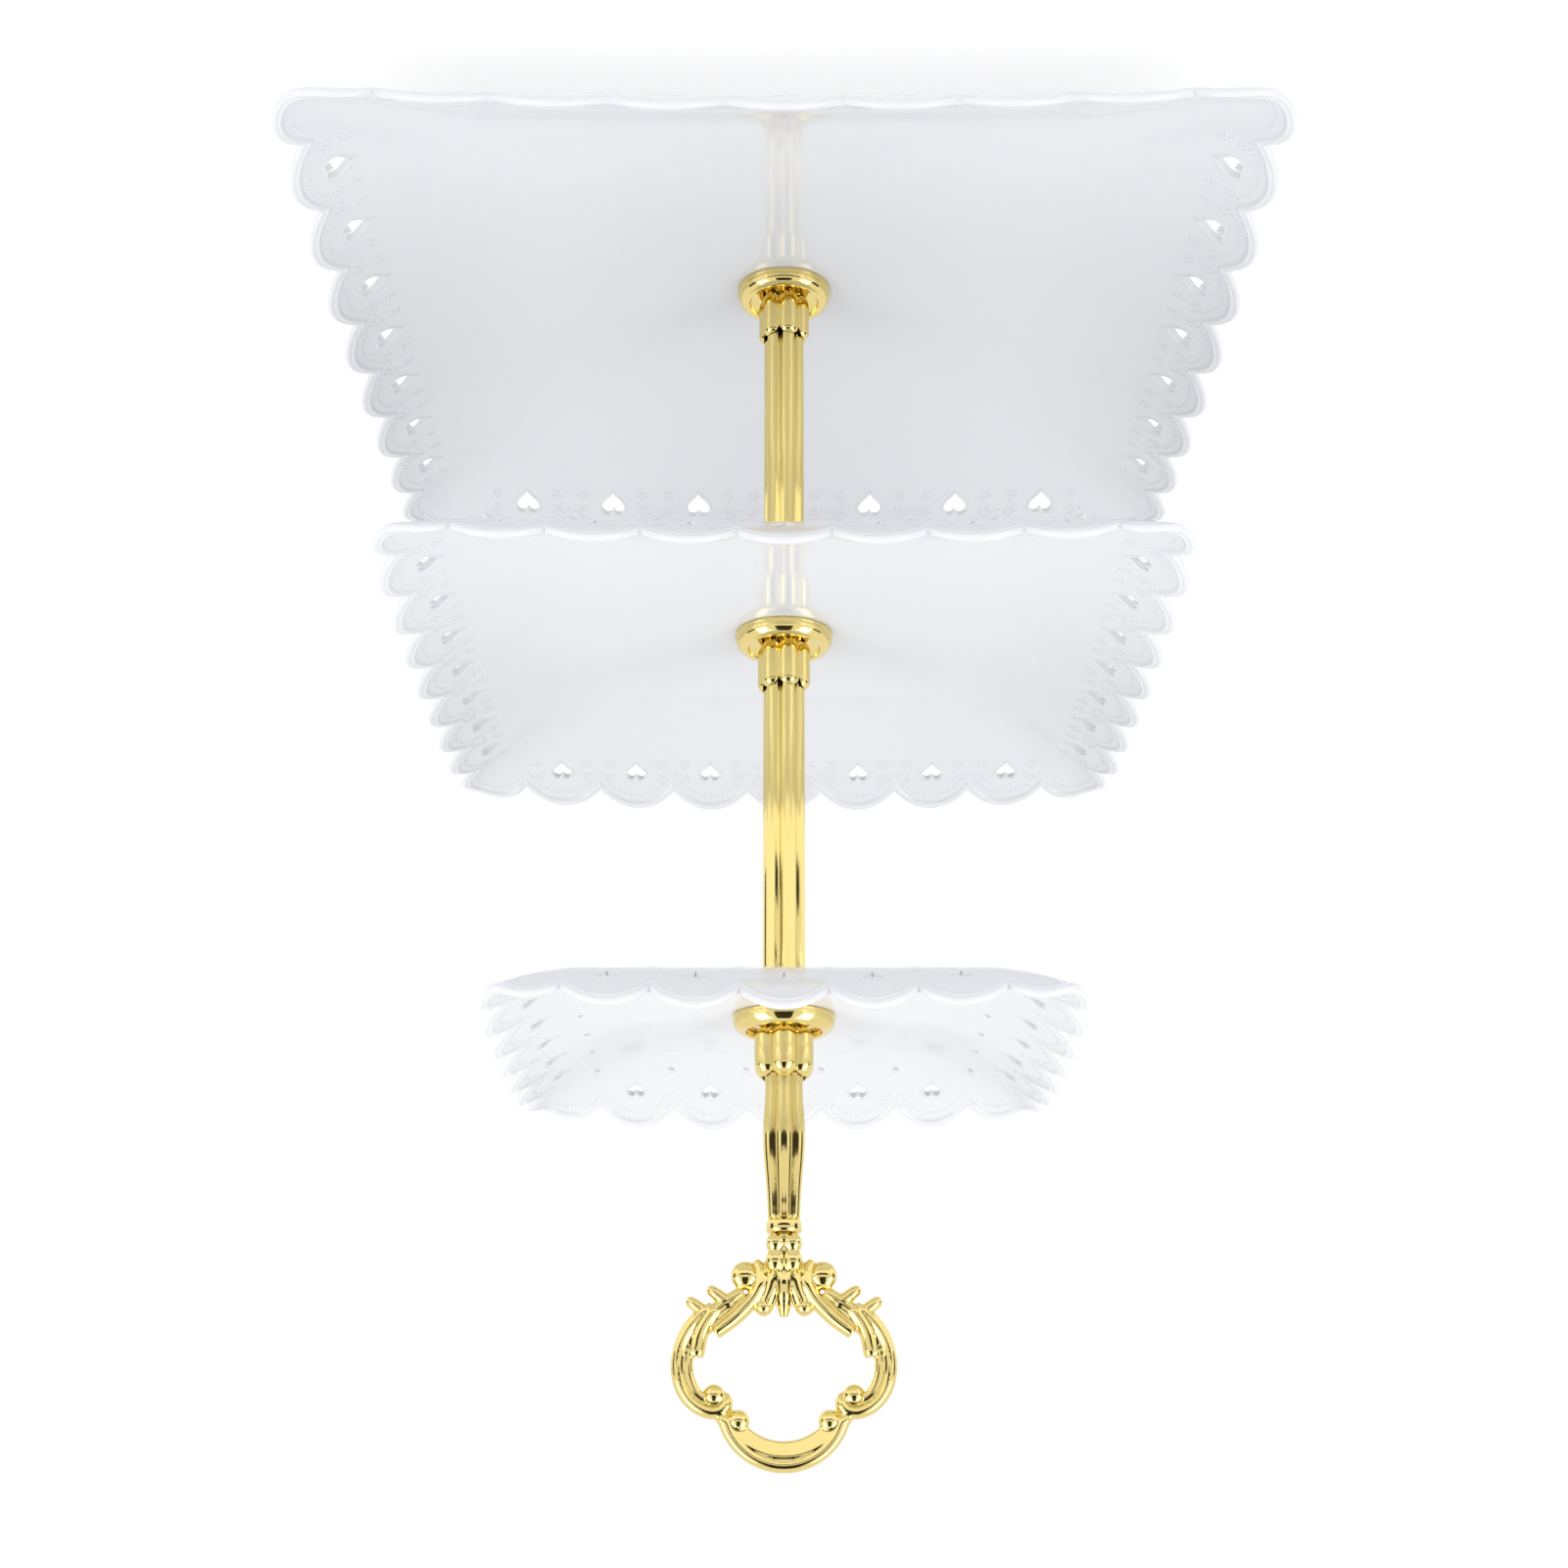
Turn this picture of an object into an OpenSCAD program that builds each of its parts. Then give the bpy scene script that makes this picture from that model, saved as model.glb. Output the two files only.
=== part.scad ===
// Three-tier cake stand: square scalloped plastic trays on a fluted screw-together column
// with a scroll ring handle. Z is up, the bottom tray's foot stands on z = 0 and the column
// is on the Z axis. Millimetres.

/* [Bottom tray] */
// Width over the scallop tips
bottom_w = 300; // [290:1:310]
// Distance between two scallop valleys
bottom_pitch = 33.8; // [33:0.1:34.2]
// Height of the scallop tips above the floor
bottom_lip_h = 28.6; // [24:0.1:32]
// Half width of the flat floor
bottom_floor = 81.5; // [78:0.5:90]
// Width of the heart-shaped holes
bottom_heart_w = 8.8; // [6:0.1:10]
// Height of the foot ring
foot_h = 5.6; // [5.4:0.1:7]
// Outer radius of the foot ring
foot_r = 62; // [50:1:66]

/* [Middle tray] */
// Width over the scallop tips
middle_w = 239.6; // [232:0.1:246]
// Distance between two scallop valleys
middle_pitch = 27.2; // [26.5:0.1:27.6]
// Height of the scallop tips above the floor
middle_lip_h = 21.8; // [18:0.1:26]
// Half width of the flat floor
middle_floor = 64.5; // [60:0.5:70]
// Width of the heart-shaped holes
middle_heart_w = 7; // [5:0.1:8]

/* [Top tray] */
// Width over the scallop tips
top_w = 176.4; // [170:0.1:182]
// Distance between two scallop valleys
top_pitch = 25.1; // [24:0.1:25.6]
// Height of the scallop tips above the floor
top_lip_h = 19.5; // [15:0.1:22]
// Half width of the flat floor
top_floor = 44; // [40:0.5:48]
// Width of the heart-shaped holes
top_heart_w = 6; // [4:0.1:7]

/* [All trays] */
// Wall thickness
tray_wall = 2.4; // [1.8:0.1:3]
// Rise of a scallop from its valleys to its tip
scallop_rise = 5.4; // [4.6:0.1:6]
// Distance of a heart's centre from the scallop tip
heart_inset = 14.2; // [13:0.1:15]
// Distance from one tray floor to the next
tier_pitch = 128.4; // [120:0.1:140]

/* [Column] */
// Radius over the lobes of the fluted rods
rod_r = 6.85; // [6.6:0.05:7.2]
// Bore radius of the rods, which holds the threaded inserts
rod_bore_r = 4.4; // [4.2:0.1:4.6]
// Radius over the lobes of the two rod collars
collar_r = 8.7; // [8.4:0.1:9.2]
// Radius over the lobes of the handle's collar
handle_collar_r = 10; // [9.4:0.1:10.2]
// Height of the collar tops above a tray floor
collar_top_h = 20; // [18:0.5:22]
// Radius of the flange discs
flange_r = 16; // [15:0.5:17]
// Height of the flange discs
flange_h = 5.5; // [5:0.1:6.5]
// Radius of the discs under the middle and top trays
support_r = 15; // [13:0.5:16]
// Height of the discs under the middle and top trays
support_h = 3; // [2.5:0.1:4]
// Thickness of the soft sealing rings
seal_h = 1; // [0.8:0.1:1.2]

/* [Threads] */
// Major radius of the studs
stud_r = 2.95; // [2.9:0.01:2.98]
// Radius of the insert bores that the studs turn in
insert_bore_r = 3; // [2.99:0.01:3.05]
// Length of a threaded insert
insert_l = 14; // [12:0.5:16]

/* [Handle] */
// Radius of the stem at its widest
stem_r = 7.1; // [6.9:0.05:7.3]
// Outer half width of the scroll ring
ring_half_w = 34; // [33:0.5:35]
// Radius of the ring's scroll bars
bar_r = 2.8; // [2.5:0.1:3]

/* [Hidden] */
$fn = 96;

gold = [0.89, 0.72, 0.27];
porcelain = [0.93, 0.94, 0.96];
zinc = [0.72, 0.73, 0.75];
clear_rubber = [0.85, 0.86, 0.87];

cut = 1;                 // how far a cutting body runs past what it cuts
merge = 0.4;             // overlap that joins two solids of one piece
press = 0.02;            // radial interference of a pressed or locked joint
run = 0.05;              // radial clearance of a turning joint
clear_r = 3.3;           // clearance hole round a stud
prism_h = 34;            // height above the floor of the prism that trims a tray

// levels
seat_h = 3.5;            // height above a floor at which a rod stands in its flange
floor_1 = foot_h + tray_wall;
floor_2 = floor_1 + tier_pitch;
floor_3 = floor_2 + tier_pitch;
stack_h = tray_wall + seal_h + support_h;   // from a rod's top end to the floor above it
rod_l = tier_pitch - seat_h - stack_h;
stem_z = floor_3 + seat_h;
thread_l = 12;           // length of stud inside an insert
screw_head_h = 2.8;
washer_h = 1.2;

// fluted bars
lobes = 6;
column_yaw = 14; // turn of the rods and their collars about the column's axis, degrees
lobe_ratio = 1.1;        // distance of a lobe's centre from the axis, over the lobe's radius

// ---------- trays ----------

// heart of width w, with its point towards -X
module heart(w) {
    lobe = 0.27 * w;
    lobe_x = 0.12 * w;
    lobe_y = 0.23 * w;
    for (s = [-1, 1])
        translate([lobe_x, s * lobe_y]) circle(r = lobe);
    polygon(w * [[-0.55, 0], [-0.059, -0.433], [0.12, -0.23], [0.2, 0], [0.12, 0.23], [-0.059, 0.433]]);
}

// plan outline with n scallops a side and a round one at each corner
module scalloped_outline(half, pitch, n) {
    valley = half - scallop_rise;
    core = valley - merge;
    last = n * pitch / 2;
    scallop_r = (pitch * pitch / 4 + scallop_rise * scallop_rise) / (2 * scallop_rise);
    corner_c = (valley + last) / 2;
    corner_r = (valley - last) / sqrt(2);
    polygon([for (q = [0 : 3], p = [[core, last - merge], [last - merge, core]])
        [p[0] * cos(90 * q) - p[1] * sin(90 * q), p[0] * sin(90 * q) + p[1] * cos(90 * q)]]);
    for (q = [0 : 3]) rotate(90 * q) {
        translate([corner_c, corner_c]) circle(r = corner_r);
        for (k = [0 : n - 1])
            translate([half - scallop_r, (k - (n - 1) / 2) * pitch]) circle(r = scallop_r);
    }
}

// section of a bowl: flat to x = floor_half, then rising as an arc of radius lip_r
module bowl_section(floor_half, lip_r, grow) {
    translate([-floor_half, -grow]) square([2 * floor_half, lip_r + grow]);
    for (s = [-1, 1])
        translate([s * floor_half, lip_r]) circle(r = lip_r + grow);
}

// the bowl section swept along both directions, so that its sides meet in mitres
module bowl(half, floor_half, lip_r, grow) {
    intersection() {
        rotate([90, 0, 0])
            linear_extrude(2 * half + 2 * cut, center = true) bowl_section(floor_half, lip_r, grow);
        rotate([90, 0, 90])
            linear_extrude(2 * half + 2 * cut, center = true) bowl_section(floor_half, lip_r, grow);
    }
}

// a tray whose floor's upper face is at z = 0
module tray(half, pitch, n, floor_half, lip_h, heart_w) {
    run_out = half - floor_half;
    lip_r = (run_out * run_out + lip_h * lip_h) / (2 * lip_h);
    difference() {
        intersection() {
            translate([0, 0, -tray_wall])
                linear_extrude(prism_h + tray_wall) scalloped_outline(half, pitch, n);
            bowl(half, floor_half, lip_r, tray_wall);
        }
        bowl(half, floor_half, lip_r, 0);
        translate([0, 0, -tray_wall - cut]) cylinder(r = clear_r, h = tray_wall + 2 * cut);
        for (q = [0 : 3], k = [0 : n - 1])
            rotate(90 * q)
                translate([half - heart_inset, (k - (n - 1) / 2) * pitch, -tray_wall])
                    linear_extrude(prism_h) heart(heart_w);
    }
}

module bottom_tray() {
    color(porcelain) {
        translate([0, 0, floor_1])
            tray(bottom_w / 2, bottom_pitch, 7, bottom_floor, bottom_lip_h, bottom_heart_w);
        difference() {
            cylinder(r = foot_r, h = foot_h + merge);
            translate([0, 0, -cut]) cylinder(r = foot_r - tray_wall, h = foot_h + merge + 2 * cut);
        }
    }
}

module middle_tray() {
    color(porcelain) translate([0, 0, floor_2])
        tray(middle_w / 2, middle_pitch, 7, middle_floor, middle_lip_h, middle_heart_w);
}

module top_tray() {
    color(porcelain) translate([0, 0, floor_3])
        tray(top_w / 2, top_pitch, 5, top_floor, top_lip_h, top_heart_w);
}

// ---------- shared column shapes ----------

// section of a fluted bar whose lobes reach radius r
module fluted_section(r) {
    lobe_r = r / (1 + lobe_ratio);
    circle(r = lobe_r * lobe_ratio);
    for (i = [0 : lobes - 1])
        rotate(i * 360 / lobes)
            translate([lobe_r * lobe_ratio, 0]) circle(r = lobe_r);
}

// ring with a round hole, standing on z = 0
module ring(r_out, r_in, h) {
    difference() {
        cylinder(r = r_out, h = h);
        translate([0, 0, -cut]) cylinder(r = r_in, h = h + 2 * cut);
    }
}

module fluted_rod() {
    color(gold) difference() {
        linear_extrude(rod_l) fluted_section(rod_r);
        translate([0, 0, -cut]) cylinder(r = rod_bore_r, h = rod_l + 2 * cut);
    }
}

module insert() {
    color(zinc) ring(rod_bore_r + press, insert_bore_r, insert_l);
}

// disc with a rolled edge and a dished top, which a collar stands in
module flange(collar_outer_r) {
    dish_r = collar_outer_r + 1;
    crown = flange_r - 2.2;
    color(gold) rotate_extrude() polygon([
        [clear_r, 0], [flange_r - 0.8, 0], [flange_r, 0.8], [flange_r, 2.2],
        [crown, flange_h], [crown - 1.2, flange_h], [dish_r, seat_h], [clear_r, seat_h]
    ]);
}

// lobed sleeve with stepped ends, standing on z = 0, its first lobe at the angle given
module collar(r, turn) {
    h = collar_top_h - seat_h;
    step_r = 0.3;
    step_h = 1.6;
    color(gold) difference() {
        rotate(turn) {
            linear_extrude(h) fluted_section(r - step_r);
            translate([0, 0, step_h]) linear_extrude(h - 2 * step_h) fluted_section(r);
        }
        translate([0, 0, -cut]) cylinder(r = rod_r + run, h = h + 2 * cut);
    }
}

module support_disc() {
    edge = 1;
    color(gold) rotate_extrude() polygon([
        [clear_r, 0], [support_r - 2 * edge, 0], [support_r, edge],
        [support_r, support_h], [clear_r, support_h]
    ]);
}

module seal() {
    color(clear_rubber) ring(support_r - 2, clear_r + 0.2, seal_h);
}

// stud that is locked over its lower or upper end and turns freely in the other insert
module stud(free_l, locked_l, locked_below) {
    color(zinc) {
        translate([0, 0, locked_below ? 0 : free_l]) cylinder(r = insert_bore_r + press, h = locked_l);
        translate([0, 0, locked_below ? locked_l - merge : 0]) cylinder(r = stud_r, h = free_l + merge);
    }
}

// ---------- base ----------

module base_seal() {
    translate([0, 0, foot_h - seal_h]) seal();
}

module base_washer() {
    color(zinc) translate([0, 0, foot_h - seal_h - washer_h]) ring(support_r - 3, clear_r, washer_h);
}

module base_screw() {
    head_z = foot_h - seal_h - washer_h - screw_head_h;
    head_r = 5.6;
    slot_w = 1.4;
    slot_l = 6.4;
    slot_deep = 1.6;
    locked_z = rod_1_z() + 0.5;
    color(zinc) {
        difference() {
            translate([0, 0, head_z]) cylinder(r = head_r, h = screw_head_h);
            for (a = [0, 90])
                rotate(a) translate([-slot_l / 2, -slot_w / 2, head_z - cut])
                    cube([slot_l, slot_w, slot_deep + cut]);
        }
        translate([0, 0, head_z + screw_head_h - merge])
            cylinder(r = stud_r, h = locked_z - head_z - screw_head_h + 2 * merge);
        translate([0, 0, locked_z]) cylinder(r = insert_bore_r + press, h = thread_l);
    }
}

// ---------- lower column ----------

function rod_1_z() = floor_1 + seat_h;
function rod_2_z() = floor_2 + seat_h;

module lower_flange() { translate([0, 0, floor_1]) flange(collar_r); }
module lower_collar() { translate([0, 0, rod_1_z()]) collar(collar_r, column_yaw); }
module lower_rod() { translate([0, 0, rod_1_z()]) rotate(column_yaw) fluted_rod(); }
module lower_rod_base_insert() { translate([0, 0, rod_1_z()]) insert(); }
module lower_rod_top_insert() { translate([0, 0, rod_1_z() + rod_l - insert_l]) insert(); }
module middle_support_disc() { translate([0, 0, rod_1_z() + rod_l]) support_disc(); }
module middle_seal() { translate([0, 0, rod_1_z() + rod_l + support_h]) seal(); }
module middle_stud() {
    translate([0, 0, rod_1_z() + rod_l - thread_l]) stud(stack_h + seat_h + thread_l, thread_l, true);
}

// ---------- upper column ----------

module middle_flange() { translate([0, 0, floor_2]) flange(collar_r); }
module middle_collar() { translate([0, 0, rod_2_z()]) collar(collar_r, column_yaw); }
module upper_rod() { translate([0, 0, rod_2_z()]) rotate(column_yaw) fluted_rod(); }
module upper_rod_base_insert() { translate([0, 0, rod_2_z()]) insert(); }
module upper_rod_top_insert() { translate([0, 0, rod_2_z() + rod_l - insert_l]) insert(); }
module top_support_disc() { translate([0, 0, rod_2_z() + rod_l]) support_disc(); }
module top_seal() { translate([0, 0, rod_2_z() + rod_l + support_h]) seal(); }

// ---------- handle ----------

module top_flange() { translate([0, 0, floor_3]) flange(handle_collar_r); }
module handle_collar() { translate([0, 0, stem_z]) collar(handle_collar_r, 180 / lobes); }
module handle_stud() {
    translate([0, 0, rod_2_z() + rod_l - thread_l]) stud(thread_l + stack_h + seat_h, thread_l, false);
}

// heights of the stem's features above its foot
stem_neck_h = 21;
stem_wide_h = 35.8;
stem_thin_h = 58.2;
stem_band_h = 60.3;
stem_l = 64.1;
tenon_r = 3;
tenon_l = 7;

// vase-shaped fluted stem with a plain band at its top
module handle_stem() {
    spigot_l = collar_top_h - seat_h - 1.6;
    neck_r = 6.15;
    thin_r = 5.45;
    band_r = 5.3;
    color(gold) translate([0, 0, stem_z]) rotate(180 / lobes) difference() {
        intersection() {
            rotate_extrude() polygon([
                [0, 0], [rod_r, 0], [rod_r, spigot_l], [neck_r, spigot_l + 2], [neck_r, stem_neck_h],
                [stem_r - 0.3, stem_wide_h - 6], [stem_r, stem_wide_h], [stem_r - 0.3, stem_wide_h + 5],
                [thin_r, stem_thin_h], [band_r, stem_band_h], [band_r, stem_l], [0, stem_l]
            ]);
            linear_extrude(stem_l + cut) fluted_section(stem_r + press);
        }
        translate([0, 0, -cut]) cylinder(r = insert_bore_r, h = thread_l + cut + 1);
        translate([0, 0, stem_l - tenon_l]) cylinder(r = tenon_r, h = tenon_l + cut);
    }
}

// arc of round bar in the XZ plane about (x, z), from angle a0 to a1
module arc_bar(x, z, mid_r, a0, a1, r) {
    translate([x, 0, z]) rotate([90, 0, 0]) rotate(a0)
        rotate_extrude(angle = a1 - a0) translate([mid_r, 0]) circle(r = r);
}

// straight round bar in the XZ plane with ball ends
module rod_bar(x0, z0, x1, z1, r) {
    l = norm([x1 - x0, z1 - z0]);
    translate([x0, 0, z0]) rotate([0, atan2(x1 - x0, z1 - z0), 0]) {
        cylinder(r = r, h = l);
        sphere(r = r);
        translate([0, 0, l]) sphere(r = r);
    }
}

module ball(x, z, r) { translate([x, 0, z]) sphere(r = r); }

// scrolls of the right half of the ring, with z above the ring's foot
module half_scrolls() {
    side_z = 39.2;
    side_r = 11.6;
    side_x = ring_half_w - bar_r - side_r;
    sweep_r = 23.3;
    sweep_x = side_x + side_r - sweep_r;
    arc_bar(sweep_x, side_z, sweep_r, -46, -0.6, bar_r);
    arc_bar(side_x, side_z, side_r, 1.2, 112, bar_r);
    ball(side_x + side_r, side_z, bar_r + 0.2);
    ball(side_x + 1, side_z + 6.6, 3.2);
    rod_bar(6.5, 15.5, side_x + side_r - 6, 22.8, bar_r - 0.2);
    rod_bar(9, 13, 21.6, 29, bar_r - 0.4);
    rod_bar(14.5, 19.5, 20.6, 15.8, 1.7);
    rod_bar(21, 22.5, 27, 18.8, 1.6);
    rod_bar(22.4, 25, 25, 36.4, 1.9);
    ball(12, 12.6, 3.8);
    ball(12.4, 53.8, 3.2);
}

// scroll ring with its beaded neck and a tenon that is pressed into the stem
module handle_ring() {
    foot_z = stem_z + stem_l;
    neck_r = 5.3;
    waist_r = 4.3;
    arch_z = 49.2;
    arch_mid_r = 18.2;
    ledge_w = 3.4;
    ledge_t = 3.6;
    color(gold) translate([0, 0, foot_z]) {
        translate([0, 0, -tenon_l + 0.5]) cylinder(r = tenon_r + press, h = tenon_l + merge);
        rotate_extrude() polygon([
            [0, 0], [waist_r, 0], [neck_r, 1.6], [neck_r, 3], [waist_r, 4.6],
            [neck_r, 6.4], [neck_r, 8.8], [waist_r, 11], [waist_r - 1, 24], [0, 24.6]
        ]);
        for (s = [-1, 1]) rod_bar(s * 2.5, 10, s * 7, 19, 2.2);
        half_scrolls();
        mirror([1, 0, 0]) half_scrolls();
        arc_bar(0, arch_z, arch_mid_r, 8, 172, bar_r);
        translate([0, 0, arch_z]) rotate([90, 0, 0]) rotate(20)
            rotate_extrude(angle = 140)
                translate([arch_mid_r - ledge_w - bar_r + merge, -ledge_t / 2]) square([ledge_w + merge, ledge_t]);
    }
}

bottom_tray();
middle_tray();
top_tray();
base_screw();
base_washer();
base_seal();
lower_flange();
lower_collar();
lower_rod();
lower_rod_base_insert();
lower_rod_top_insert();
middle_support_disc();
middle_seal();
middle_stud();
middle_flange();
middle_collar();
upper_rod();
upper_rod_base_insert();
upper_rod_top_insert();
top_support_disc();
top_seal();
handle_stud();
top_flange();
handle_collar();
handle_stem();
handle_ring();
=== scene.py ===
"""Three-tier cake stand: scalloped white plastic trays on a gold fluted column with a scroll ring handle.

Everything is in metres, in the CAD model's frame: Z up, the column on the Z axis, the foot on z = 0.
Shapes are worked out in millimetres and scaled once, when their mesh is made.
"""
import math

import bpy
import numpy as np
from mathutils import Matrix, Vector
from mathutils.geometry import delaunay_2d_cdt


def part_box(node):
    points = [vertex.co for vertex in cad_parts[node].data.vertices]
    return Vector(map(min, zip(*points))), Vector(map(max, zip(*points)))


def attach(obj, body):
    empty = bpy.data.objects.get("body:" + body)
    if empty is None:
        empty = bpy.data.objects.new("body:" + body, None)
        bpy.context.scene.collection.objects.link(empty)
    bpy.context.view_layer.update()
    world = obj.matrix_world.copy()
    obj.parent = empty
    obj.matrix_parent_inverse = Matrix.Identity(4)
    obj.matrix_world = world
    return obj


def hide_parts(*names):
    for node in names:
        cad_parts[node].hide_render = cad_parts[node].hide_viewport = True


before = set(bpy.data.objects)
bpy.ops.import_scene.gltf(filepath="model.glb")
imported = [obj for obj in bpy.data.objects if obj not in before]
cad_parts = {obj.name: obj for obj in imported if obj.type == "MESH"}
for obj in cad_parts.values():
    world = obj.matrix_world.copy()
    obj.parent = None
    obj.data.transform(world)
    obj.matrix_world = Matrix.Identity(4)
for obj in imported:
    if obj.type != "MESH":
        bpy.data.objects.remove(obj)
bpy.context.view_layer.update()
MM = 0.001
TAU = 2 * math.pi


def node_mm(node):
    """Lowest and highest corners of a CAD node, in millimetres."""
    low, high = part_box(node)
    return np.array(low) / MM, np.array(high) / MM


# ------------------------------------------------------------------ materials

def node_material(name):
    """New material with only a Principled shader. Returns (material, node tree, shader)."""
    material = bpy.data.materials.new(name)
    material.use_nodes = True
    tree = material.node_tree
    return material, tree, tree.nodes["Principled BSDF"]


def noise(tree, scale, detail=3.0, roughness=0.5):
    """Noise texture on object coordinates."""
    coords = tree.nodes.new("ShaderNodeTexCoord")
    texture = tree.nodes.new("ShaderNodeTexNoise")
    texture.inputs["Scale"].default_value = scale
    texture.inputs["Detail"].default_value = detail
    texture.inputs["Roughness"].default_value = roughness
    tree.links.new(coords.outputs["Object"], texture.inputs["Vector"])
    return texture.outputs["Fac"]


def remap(tree, value, low, high):
    """Map Range from 0..1 to low..high."""
    node = tree.nodes.new("ShaderNodeMapRange")
    node.inputs["To Min"].default_value = low
    node.inputs["To Max"].default_value = high
    tree.links.new(value, node.inputs["Value"])
    return node.outputs["Result"]


def two_colours(tree, value, first, second):
    """Mix of two colours by value."""
    node = tree.nodes.new("ShaderNodeMix")
    node.data_type = "RGBA"
    node.inputs["A"].default_value = (*first, 1)
    node.inputs["B"].default_value = (*second, 1)
    tree.links.new(value, node.inputs["Factor"])
    return node.outputs["Result"]


def bump(tree, shader, height, distance):
    """Bump of the given height in metres."""
    node = tree.nodes.new("ShaderNodeBump")
    node.inputs["Strength"].default_value = 1.0
    node.inputs["Distance"].default_value = distance
    tree.links.new(height, node.inputs["Height"])
    tree.links.new(node.outputs["Normal"], shader.inputs["Normal"])


def plastic_material():
    """Injection-moulded glossy white plastic, with faint flow clouding and a slightly uneven skin."""
    material, tree, shader = node_material("tray_plastic")
    cloud = noise(tree, 9.0)
    tree.links.new(two_colours(tree, cloud, (0.685, 0.695, 0.72), (0.71, 0.72, 0.74)), shader.inputs["Base Color"])
    tree.links.new(remap(tree, noise(tree, 60.0), 0.07, 0.12), shader.inputs["Roughness"])
    shader.inputs["IOR"].default_value = 1.5
    shader.inputs["Coat Weight"].default_value = 0.1
    shader.inputs["Coat Roughness"].default_value = 0.06
    shader.inputs["Subsurface Weight"].default_value = 0.25
    shader.inputs["Subsurface Radius"].default_value = (0.004, 0.004, 0.005)
    shader.inputs["Subsurface Scale"].default_value = 0.6
    bump(tree, shader, noise(tree, 45.0), 0.00006)
    return material


def gold_material(name, first, second, rough_low, rough_high, relief):
    """Polished gold plating: small shifts of tint, micro-scratches in the roughness and a soft cast skin."""
    material, tree, shader = node_material(name)
    tree.links.new(two_colours(tree, noise(tree, 35.0), first, second), shader.inputs["Base Color"])
    tree.links.new(remap(tree, noise(tree, 420.0, 4.0, 0.6), rough_low, rough_high), shader.inputs["Roughness"])
    shader.inputs["Metallic"].default_value = 1.0
    bump(tree, shader, noise(tree, 160.0), relief)
    return material


def steel_material():
    """Zinc-plated steel for the studs, inserts, washer and screw."""
    material, tree, shader = node_material("zinc_steel")
    tree.links.new(two_colours(tree, noise(tree, 300.0), (0.62, 0.63, 0.64), (0.74, 0.74, 0.73)),
                   shader.inputs["Base Color"])
    tree.links.new(remap(tree, noise(tree, 900.0), 0.24, 0.4), shader.inputs["Roughness"])
    shader.inputs["Metallic"].default_value = 1.0
    bump(tree, shader, noise(tree, 1200.0), 0.00002)
    return material


def seal_material():
    """Soft translucent vinyl."""
    material, tree, shader = node_material("clear_seal")
    tree.links.new(two_colours(tree, noise(tree, 120.0), (0.78, 0.80, 0.81), (0.86, 0.87, 0.87)),
                   shader.inputs["Base Color"])
    tree.links.new(remap(tree, noise(tree, 500.0), 0.35, 0.5), shader.inputs["Roughness"])
    shader.inputs["Transmission Weight"].default_value = 0.4
    shader.inputs["IOR"].default_value = 1.45
    return material


def floor_material():
    """Matt white studio floor."""
    material, tree, shader = node_material("floor_white")
    tree.links.new(two_colours(tree, noise(tree, 2.0), (0.44, 0.44, 0.44), (0.46, 0.46, 0.46)),
                   shader.inputs["Base Color"])
    shader.inputs["Roughness"].default_value = 0.9
    shader.inputs["Emission Color"].default_value = (1, 1, 1, 1)
    shader.inputs["Emission Strength"].default_value = 0.6
    return material


PLASTIC = plastic_material()
GOLD_ROD = gold_material("gold_rod", (0.83, 0.67, 0.25), (0.87, 0.71, 0.28), 0.09, 0.15, 0.00002)
GOLD_CAST = gold_material("gold_cast", (0.80, 0.64, 0.24), (0.84, 0.68, 0.27), 0.06, 0.11, 0.00004)
STEEL = steel_material()
SEAL = seal_material()


# ------------------------------------------------------------------ mesh helpers

def make_object(name, verts_mm, faces, material, body, slot, nodes, normals=None):
    """Mesh object from millimetre vertices that rides on a body and replaces CAD nodes.
    normals is one unit vector per face corner; without it the mesh is shaded smooth."""
    mesh = bpy.data.meshes.new(name)
    mesh.from_pydata((np.asarray(verts_mm) * MM).tolist(), [], faces)
    mesh.validate()
    mesh.shade_smooth()
    if normals is not None:
        mesh.normals_split_custom_set(normals)
    mesh.materials.append(material)
    piece = bpy.data.objects.new(name, mesh)
    bpy.context.scene.collection.objects.link(piece)
    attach(piece, body)
    if nodes:
        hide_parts(*nodes)
    return piece


def tube_faces(rows, cols, first=0, closed_rows=False):
    """Quads of a grid of rows by cols vertices that wraps round its columns."""
    faces = []
    last = rows if closed_rows else rows - 1
    for r in range(last):
        a = first + r * cols
        b = first + ((r + 1) % rows) * cols
        for c in range(cols):
            d = (c + 1) % cols
            faces.append((a + c, a + d, b + d, b + c))
    return faces


def lathe(rows, cols, loop=True):
    """Surface round Z. Each row is (radius, height), both a number or one for each of cols angles, and the
    rows go anticlockwise in the r-z plane. A chain that isn't a loop gets a flat cap at both ends."""
    angles = np.arange(cols) * TAU / cols
    verts = [np.stack([r * np.cos(angles), r * np.sin(angles), z + np.zeros(cols)], 1) for r, z in rows]
    faces = tube_faces(len(rows), cols, closed_rows=loop)
    if not loop:
        end = (len(rows) - 1) * cols
        faces += [list(range(cols))[::-1], list(range(end, end + cols))]
    return np.concatenate(verts), faces


def arc_points(cx, cy, r, a0, a1, n):
    """n + 1 points of an arc in the plane, angles in degrees."""
    return [(cx + r * math.cos(math.radians(a0 + (a1 - a0) * i / n)),
             cy + r * math.sin(math.radians(a0 + (a1 - a0) * i / n))) for i in range(n + 1)]


def smooth_by_angle(piece, degrees):
    """Shades a piece smooth except across edges sharper than the angle."""
    piece.data.set_sharp_from_angle(angle=math.radians(degrees))


# ------------------------------------------------------------------ trays

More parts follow.
